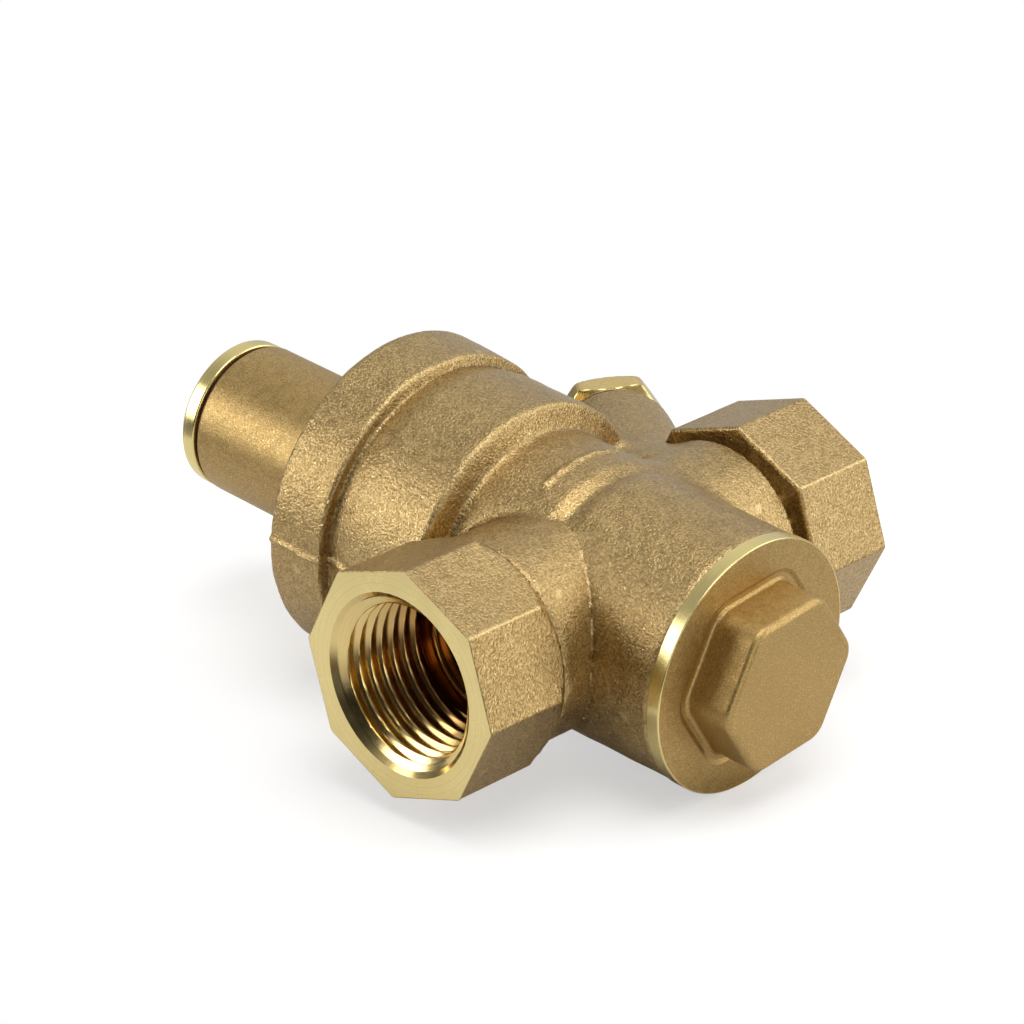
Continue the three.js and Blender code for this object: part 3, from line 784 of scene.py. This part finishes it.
def shuttle():
    """The piston with its stem and spindle, and all the pieces that move with it."""
    rows = [
        [-23.2, 0], [-23.2, 4.6, 0.4], [-21.5, 4.6, 0.3], [-21.5, 8, 0.4], [-24, 8, 0.2],
        [-24, 11.2, 0.4], [-22.9, 11.2], [-22.9, 10.25], [-20.8, 10.25], [-20.8, 11.2],
        [-19.65, 11.2], [-19.65, 9.5, 0.1], [-17.75, 9.5, 0.1], [-17.75, 11.2], [-17, 11.2, 0.3],
        [-17, 3.5, 0.8], [8.9, 3.5, 0.2], [8.9, 2.5], [14.2, 2.5],
    ]
    angles = round_angles(FINE)
    rows += thread(14.4, 21.1, 2.5, 2.15, 0.8, angles, 8)
    rows += [[21.3, 2.2], [21.5, 2.0, 0.1], [21.5, 0]]
    put("piston", turned(rows, angles), [machined_valve])
    guide = [[-22.8, 10.35, 0.1], [-22.8, 11.38, 0.2], [-20.9, 11.38, 0.2], [-20.9, 10.35, 0.1]]
    put("piston_guide_ring", turned(guide, closed=True), [ptfe])
    put("piston_oring", torus(-18.7, 10.5, 0.85), [rubber])
    washer = [[8.95, 2.7, 0.1], [8.95, 5.2, 0.12], [9.45, 5.2, 0.12], [9.45, 2.7, 0.1]]
    put("disc_washer", turned(washer, round_angles(SMALL), True), [steel_turned])
    disc = [[9.5, 2.7, 0.2], [9.5, 8, 0.3], [12, 8, 0.2], [12, 2.7, 0.1]]
    put("valve_disc", turned(disc, closed=True), [rubber])
    holder = [
        [12.05, 2.7], [12.05, 8.15, 0.1], [9.8, 8.15, 0.1], [9.8, 9, 0.2],
        [13.5, 9, 0.5], [13.5, 2.7, 0.2],
    ]
    put("disc_holder", turned(holder, closed=True), [machined_valve])
    nut()
    put("guide_oring", torus(20.7, 4.3, 0.62, round_angles(SMALL)), [rubber])


def nut():
    """The nut on the spindle, drilled blind, with a grooved tail that slides in the plug."""
    hexagon = Polygon(6, 5, 0.3)
    rows = [
        [21.9, 0], [21.9, 2.7], [13.55, 2.7, 0.1], [13.55, 5, 0.1, hexagon],
        [16.3, 5, 0.35, hexagon], [16.3, 4.7], [19.95, 4.7], [19.95, 3.6, 0.1], [21.45, 3.6, 0.1],
        [21.45, 4.7], [23, 4.7, 0.3], [23, 0],
    ]
    put("guide_nut", turned(rows, hexagon.angles(8, 10)), [machined_valve])


def valve_seat():
    """The seat between the two ports, and its O-ring."""
    rows = [
        [0.3, 6, 0.2], [0.3, 8, 0.2], [1.9, 8], [1.9, 7, 0.1], [3.3, 7, 0.1], [3.3, 8],
        [5.05, 8], [5.05, 9.2, 0.15], [6, 9.2, 0.2], [6, 7.4, 0.2], [7, 6.5, 0.1], [7, 6.2, 0.1],
        [6, 6, 0.1],
    ]
    put("valve_seat", turned(rows, closed=True), [machined_valve])
    put("seat_oring", torus(2.6, 7.6, 0.53), [rubber])


def gauge_plug():
    """The plug of the gauge boss, its hexagon chamfered at both ends, and its washer."""
    half = 7.0
    hexagon = Polygon(6, half, 0.35, 54)
    angles = hexagon.angles(8, 14)
    outline = hexagon.radius(half, angles)
    rows = [[4.7, 0], [4.7, 6.6, 0.3]]
    for x in np.linspace(4.66, 1.24, 30):
        chamfer = 7.88 - 1.6 * max(x - 4.1, 0) - 1.6 * max(1.9 - x, 0)
        rows.append((x, np.minimum(outline, chamfer)))
    rows += [[1.2, 6.6], [1.2, 4.6, 0.2], [0.4, 4.6]]
    rows += thread(0.3, -6.0, 4.7, 4.2, 0.907, angles, 12)
    rows += [[-6.2, 4.3], [-6.5, 4.0, 0.1], [-6.5, 0]]
    head = moved(turned(rows, angles), GAUGE_ANGLE, GAUGE_FACE)
    put("gauge_plug", head, [machined_plain])
    washer = [[0.3, 5, 0.1], [0.3, 6.9, 0.2], [1.2, 6.9, 0.2], [1.2, 5, 0.1]]
    shape = moved(turned(washer, round_angles(SMALL), True), GAUGE_ANGLE, GAUGE_FACE)
    put("gauge_plug_washer", shape, [fibre])


# ------------------------------------------------------------------ materials

class Shader:
    """A node material with short calls for the textures its look is made of, sizes in mm."""

    MIX_SHARE, MIX_A, MIX_B, MIX_COLOUR = 0, 6, 7, 2  # sockets of a Mix node set to colour

    def __init__(self, name):
        self.material = bpy.data.materials.new(name)
        self.material.use_nodes = True
        self.tree = self.material.node_tree
        self.surface = self.tree.nodes["Principled BSDF"]
        self.where = self.add("TexCoord").outputs["Object"]

    def add(self, kind, inputs=None, **settings):
        """A node with its settings, and its inputs by name or number set or linked."""
        made = self.tree.nodes.new("ShaderNode" + kind)
        for key, value in settings.items():
            setattr(made, key, value)
        for key, value in (inputs or {}).items():
            self.give(made.inputs[key], value)
        return made

    def give(self, socket, value):
        """Links the socket to another, or sets its value."""
        if isinstance(value, bpy.types.NodeSocket):
            self.tree.links.new(value, socket)
        else:
            socket.default_value = value

    def math(self, operation, *values):
        """The result of a math node on those values."""
        made = self.add("Math", dict(enumerate(values)), operation=operation)
        return made.outputs[0]

    def noise(self, size, detail=2.0, rough=0.5, where=None):
        """Soft random patches of about that size."""
        vector = self.where if where is None else where
        made = self.add("TexNoise", {"Vector": vector, "Scale": 1000 / size, "Detail": detail,
                                     "Roughness": rough})
        return made.outputs["Fac"]

    def cells(self, size):
        """A random number for each small cell."""
        made = self.add("TexVoronoi", {"Vector": self.where, "Scale": 1000 / size})
        return self.add("SeparateColor", {0: made.outputs["Color"]}).outputs[0]

    def spread(self, value, low, high, to_low=0.0, to_high=1.0):
        """The value stretched from low and high to to_low and to_high, and held there."""
        made = self.add("MapRange", {0: value, 1: low, 2: high, 3: to_low, 4: to_high})
        return made.outputs[0]

    def mix(self, share, a, b):
        """Colour a turning into colour b as share goes from 0 to 1."""
        inputs = {self.MIX_SHARE: share, self.MIX_A: a, self.MIX_B: b}
        return self.add("Mix", inputs, data_type="RGBA").outputs[self.MIX_COLOUR]

    def bumps(self, *layers):
        """Bump layers given as (height, depth in mm), one on top of the other."""
        normal = None
        for height, depth in layers:
            inputs = {"Height": height, "Strength": 1.0, "Distance": depth / 1000}
            if normal is not None:
                inputs["Normal"] = normal
            normal = self.add("Bump", inputs).outputs[0]
        return normal

    def finish(self, **inputs):
        """Sets the surface's inputs; an underscore stands for a space."""
        for key, value in inputs.items():
            self.give(self.surface.inputs[key.replace("_", " ")], value)
        return self.material


# Colours of the painted shade in creases, of the lighter convex edges and of the glints.
CREASE_SHADE = (0.13, 0.08, 0.03, 1)
LIGHTER_EDGE = (0.72, 0.56, 0.27, 1)
GLINT = (0.80, 0.68, 0.42, 1)


def blasted_brass(name, light, dark, stain, grain=0.3, depth=0.12, rough=0.34, crease_shade_and_edges=False):
    """Shot-blasted forging skin: fine facets that sparkle, with brownish patches.

    The last flag paints shade into the creases and makes convex edges lighter; it needs a mesh of
    small, even faces.
    """
    s = Shader(name)
    fine, middle = s.noise(grain, 2, 0.6), s.noise(grain * 5, 3, 0.55)
    facets, patches = s.cells(grain * 0.75), s.noise(14, 3, 0.6)
    tone = s.math("ADD", s.math("MULTIPLY", fine, 0.8), s.math("MULTIPLY", middle, 0.2))
    colour = s.mix(s.spread(tone, 0.4, 0.6), dark, light)
    colour = s.mix(s.spread(patches, 0.45, 0.75, 0, 0.3), colour, stain)
    if crease_shade_and_edges:
        # Painted shade darkens concave creases, and convex edges are made lighter.
        bend = s.add("NewGeometry").outputs["Pointiness"]
        colour = s.mix(s.spread(bend, 0.49, 0.42, 0, 0.7), colour, CREASE_SHADE)
        colour = s.mix(s.spread(bend, 0.52, 0.6, 0, 0.5), colour, LIGHTER_EDGE)
    glint = s.spread(facets, 0.9, 1.0)
    colour = s.mix(s.math("MULTIPLY", glint, 0.25), colour, GLINT)
    roughness = s.math("SUBTRACT", s.spread(middle, 0.3, 0.7, rough - 0.06, rough + 0.08),
                       s.math("MULTIPLY", glint, 0.12))
    normal = s.bumps((middle, depth * 0.6), (fine, depth), (facets, depth * 0.1))
    return s.finish(Base_Color=colour, Metallic=1.0, Roughness=roughness, Normal=normal)


def machined_brass(name, light, dark, axis, rough=0.2, marks=0.0035, bore_shade=None):
    """Machined brass whose fine tool marks run round an axis.

    axis is 0 for X, 1 for Y, or None for marks with no direction.
    The last argument is a colour of painted shade that the bore of a port darkens to away from its
    mouth.
    """
    s = Shader(name)
    parts = s.add("SeparateXYZ", {0: s.where}).outputs
    if axis is None:
        lines = s.noise(0.5, 3, 0.6)
    else:
        across = s.math("SUBTRACT", parts[0], CROSSING_X / 1000) if axis == 1 else parts[1]
        height = parts[2]
        radius = s.math("SQRT", s.math("ADD", s.math("MULTIPLY", across, across),
                                       s.math("MULTIPLY", height, height)))
        flat = s.add("CombineXYZ", {0: radius, 1: parts[axis], 2: 0.0}).outputs[0]
        lines = s.noise(0.22, 3, 0.7, flat)
    scuffs = s.noise(2.5, 4, 0.65)
    tarnish = s.noise(7, 3, 0.6)
    colour = s.mix(s.spread(lines, 0.3, 0.7, 0.1, 0.75), dark, light)
    colour = s.mix(s.spread(tarnish, 0.5, 0.75, 0, 0.35), colour, dark)
    # Painted shade: the bore darkens away from the mouth of a port.
    if bore_shade:
        along = s.math("ABSOLUTE", parts[1])
        depth = s.spread(along, (INLET_FACE - 3) / 1000, (INLET_FACE - SOCKET_DEPTH + 1) / 1000)
        colour = s.mix(depth, colour, bore_shade)
    roughness = s.math("ADD", s.spread(scuffs, 0.35, 0.7, rough - 0.03, rough + 0.06),
                       s.spread(lines, 0.3, 0.7, -0.03, 0.03))
    normal = s.bumps((scuffs, 0.004), (lines, marks))
    return s.finish(Base_Color=colour, Metallic=1.0, Roughness=roughness, Normal=normal)


def soft_material(name, light, dark, grain, depth, rough, metallic=0.0):
    """Rubber, fibre, plastic or wire: a mottled colour with a fine grain."""
    s = Shader(name)
    fine, patches = s.noise(grain, 3, 0.6), s.noise(grain * 12, 3, 0.6)
    colour = s.mix(s.spread(patches, 0.3, 0.7), dark, light)
    roughness = s.spread(fine, 0.3, 0.7, rough - 0.08, rough + 0.08)
    return s.finish(Base_Color=colour, Metallic=metallic, Roughness=roughness,
                    Normal=s.bumps((fine, depth)))


blasted = blasted_brass("blasted_brass", (0.54, 0.385, 0.172, 1), (0.31, 0.208, 0.082, 1),
                        (0.34, 0.22, 0.088, 1), crease_shade_and_edges=True)
blasted_fine = blasted_brass("blasted_brass_fine", (0.52, 0.36, 0.14, 1), (0.36, 0.235, 0.08, 1),
                             (0.36, 0.22, 0.075, 1), grain=0.18, depth=0.03, rough=0.46)
blasted_neck = blasted_brass("blasted_brass_neck", (0.50, 0.35, 0.14, 1), (0.34, 0.22, 0.08, 1),
                             (0.32, 0.20, 0.08, 1), grain=0.2, depth=0.03, rough=0.45)
machined_valve = machined_brass("machined_brass_valve_axis", (0.86, 0.74, 0.36, 1),
                                (0.70, 0.56, 0.22, 1), 0)
machined_flow = machined_brass("machined_brass_flow_axis", (0.92, 0.785, 0.40, 1),
                               (0.72, 0.57, 0.23, 1), 1, rough=0.3)
machined_plain = machined_brass("machined_brass_plain", (0.80, 0.64, 0.28, 1),
                                (0.62, 0.44, 0.16, 1), None, rough=0.22)
thread_brass = machined_brass("thread_brass", (0.86, 0.70, 0.35, 1), (0.66, 0.48, 0.18, 1), 1,
                              rough=0.16, marks=0.002, bore_shade=(0.36, 0.18, 0.05, 1))
steel_turned = soft_material("turned_steel", (0.62, 0.63, 0.65, 1), (0.48, 0.49, 0.5, 1),
                             0.3, 0.004, 0.3, 1.0)
steel_wire = soft_material("spring_wire", (0.5, 0.51, 0.52, 1), (0.36, 0.37, 0.38, 1),
                           0.2, 0.004, 0.34, 1.0)
rubber = soft_material("rubber", (0.028, 0.028, 0.03, 1), (0.018, 0.018, 0.02, 1), 0.25, 0.01, 0.6)
fibre = soft_material("fibre", (0.12, 0.06, 0.03, 1), (0.05, 0.025, 0.014, 1), 0.3, 0.02, 0.8)
ptfe = soft_material("ptfe", (0.86, 0.85, 0.80, 1), (0.78, 0.76, 0.70, 1), 0.4, 0.006, 0.42)


# ------------------------------------------------------------------ the stage

FLOOR_NORMAL = Vector((-0.086, 0.02, 0.996)).normalized()
FLOOR_LEVEL = -15.18  # mm along the normal
FLOOR_R = 0.095  # metres
FLOOR_SIDES = 96
# DARK_PATCH is the centre of the painted shade that the floor shows to reflections.
DARK_PATCH = (-0.004, -0.080, -0.014)  # a point on the floor, in frame metres
STAGE_CENTRE = Vector((-46, 0.5, 0)) / 1000

# The camera looks at the target from a distance in metres, at angles in degrees.
CAMERA_TARGET = Vector((-46.469, 2.249, 3.115)) / 1000
CAMERA_AZIMUTH = 42.17
CAMERA_ELEVATION = 27.354
CAMERA_ROLL = 3.55
CAMERA_DISTANCE = 0.5268

LIGHTS = [  # name, azimuth, elevation, distance and width in metres, watts
    ("key", -42, 15, 0.9, 0.6, 3.6),
    ("top", 60, 80, 0.9, 0.7, 4.5),
    ("side", 122, 8, 1.0, 0.6, 2.5),
    ("back", 150, 34, 1.2, 0.9, 3.6),
    ("front", 58, 12, 1.0, 0.6, 1.7),
]


def direction(azimuth, elevation):
    """The direction from the valve at those angles. Azimuth 0 is the -Y side, 90 the +X side."""
    a, e = math.radians(azimuth), math.radians(elevation)
    return Vector((math.sin(a) * math.cos(e), -math.cos(a) * math.cos(e), math.sin(e)))


def floor():
    """A pale disc the valve lies on: on its flange and on the rim of the bottom plug."""
    centre = STAGE_CENTRE - FLOOR_NORMAL * (STAGE_CENTRE.dot(FLOOR_NORMAL) - FLOOR_LEVEL / 1000)
    across = FLOOR_NORMAL.cross(Vector((0, 1, 0))).normalized()
    along = FLOOR_NORMAL.cross(across)
    points = []
    for a in round_angles(FLOOR_SIDES):
        points.append(centre + (across * math.cos(a) + along * math.sin(a)) * FLOOR_R)
    mesh = bpy.data.meshes.new("floor")
    mesh.from_pydata([tuple(p) for p in points], [], [list(range(FLOOR_SIDES))])
    disc = bpy.data.objects.new("floor", mesh)
    bpy.context.scene.collection.objects.link(disc)
    disc.data.materials.append(floor_material(centre))


def floor_material(centre):
    """To the camera a pale, glowing floor; to reflections and bounced light a grey one.

    The grey floor has a patch of painted shade on the -Y side, for the metal near the inlet to
    mirror.
    """
    s = Shader("floor")
    mottle = s.noise(20, 2, 0.5)
    pale = s.mix(mottle, (0.90, 0.90, 0.90, 1), (0.92, 0.92, 0.92, 1))
    seen = s.add("LightPath").outputs["Is Camera Ray"]
    # Painted shade on the floor, seen only in reflections and bounced light.
    from_patch = s.add("VectorMath", {0: s.where, 1: DARK_PATCH}, operation="DISTANCE")
    outside = s.spread(from_patch.outputs["Value"], 0.02, 0.034)
    mirrored = s.mix(outside, (0.08, 0.06, 0.045, 1), (0.76, 0.75, 0.74, 1))
    colour = s.mix(seen, mirrored, s.mix(0.5, pale, (0, 0, 0, 1)))
    from_centre = s.add("VectorMath", {0: s.where, 1: centre}, operation="DISTANCE")
    # The glow is weaker near the valve, a painted soft shadow round it, and full at the rim so the
    # disc's edge meets the white sky.
    fade = s.spread(from_centre.outputs["Value"], 0.045, 0.09, 0.54, 0.72)
    glow = s.math("MULTIPLY", seen, fade)
    return s.finish(Base_Color=colour, Roughness=0.9, Emission_Color=(1, 0.995, 0.99, 1),
                    Emission_Strength=glow)


def softbox(name, azimuth, elevation, distance, size, watts):
    """A round white area light facing the valve."""
    away = direction(azimuth, elevation)
    light = bpy.data.lights.new(name, "AREA")
    light.shape = "DISK"
    light.size = size
    light.energy = watts
    lamp = bpy.data.objects.new(name, light)
    lamp.location = STAGE_CENTRE + away * distance
    lamp.rotation_mode = "QUATERNION"
    lamp.rotation_quaternion = (-away).to_track_quat("-Z", "Y")
    bpy.context.scene.collection.objects.link(lamp)


def world():
    """White to the camera; to reflections and bounced light, a soft sky.

    It is lighter overhead, behind the valve and straight below, and dark in a zone on the -Y side.
    """
    sky = bpy.data.worlds.new("studio")
    bpy.context.scene.world = sky
    sky.use_nodes = True
    tree = sky.node_tree
    link = tree.links.new

    def add(kind, *inputs, **settings):
        """A node with its settings, and its first inputs set or linked."""
        made = tree.nodes.new("ShaderNode" + kind)
        for key, value in settings.items():
            setattr(made, key, value)
        for socket, value in zip(made.inputs, inputs):
            if isinstance(value, bpy.types.NodeSocket):
                link(value, socket)
            else:
                socket.default_value = value
        return made

    def towards(aim):
        """1 where the sky lies in the direction aim, less away from it."""
        return add("VectorMath", way, aim, operation="DOT_PRODUCT").outputs["Value"]

    def ramp(value, *limits):
        """The value eased between limits: low, high, result at low, result at high."""
        return add("MapRange", value, *limits, interpolation_type="SMOOTHSTEP").outputs[0]

    way = add("TexCoord").outputs["Generated"]
    up = add("SeparateXYZ", way).outputs[2]
    overhead = ramp(up, -0.2, 0.9, 0.12, 0.46)
    below = ramp(up, -0.1, -0.5, 0.0, 0.3)
    backdrop = ramp(towards((-0.25, 0.93, 0.27)), 0.1, 0.95, 0.0, 0.48)
    shade = ramp(towards((0.12, -0.94, 0.32)), 0.78, 0.95, 1.0, 0.12)
    light = add("Math", overhead, backdrop, operation="ADD").outputs[0]
    light = add("Math", light, below, operation="ADD").outputs[0]
    light = add("Math", light, shade, operation="MULTIPLY").outputs[0]
    lit = add("Background", (1, 0.995, 0.985, 1), light).outputs[0]
    seen = add("Background", (1, 1, 1, 1), 1.0).outputs[0]
    is_camera = add("LightPath").outputs["Is Camera Ray"]
    choose = add("MixShader", is_camera, lit, seen)
    link(choose.outputs[0], tree.nodes["World Output"].inputs[0])


def camera():
    """The camera of the front view, above the inlet and the bottom plug."""
    data = bpy.data.cameras.new("camera")
    data.lens = 154.15
    data.sensor_width = 36
    data.clip_start = 0.01
    data.clip_end = 10
    eye = bpy.data.objects.new("camera", data)
    back = direction(CAMERA_AZIMUTH, CAMERA_ELEVATION)
    level = direction(CAMERA_AZIMUTH + 90, 0)
    roll = math.radians(CAMERA_ROLL)
    right = level * math.cos(roll) + back.cross(level) * math.sin(roll)
    eye.location = CAMERA_TARGET + back * CAMERA_DISTANCE
    eye.rotation_mode = "QUATERNION"
    eye.rotation_quaternion = Matrix((right, back.cross(right), back)).transposed().to_quaternion()
    bpy.context.scene.collection.objects.link(eye)
    bpy.context.scene.camera = eye


# ------------------------------------------------------------------ build

valve_body()
bottom_plug()
spring_bonnet()
adjuster_cap()
adjuster()
main_spring()
shuttle()
valve_seat()
gauge_plug()
floor()
for light in LIGHTS:
    softbox(*light)
world()
camera()
bpy.context.scene.view_settings.view_transform = "Standard"
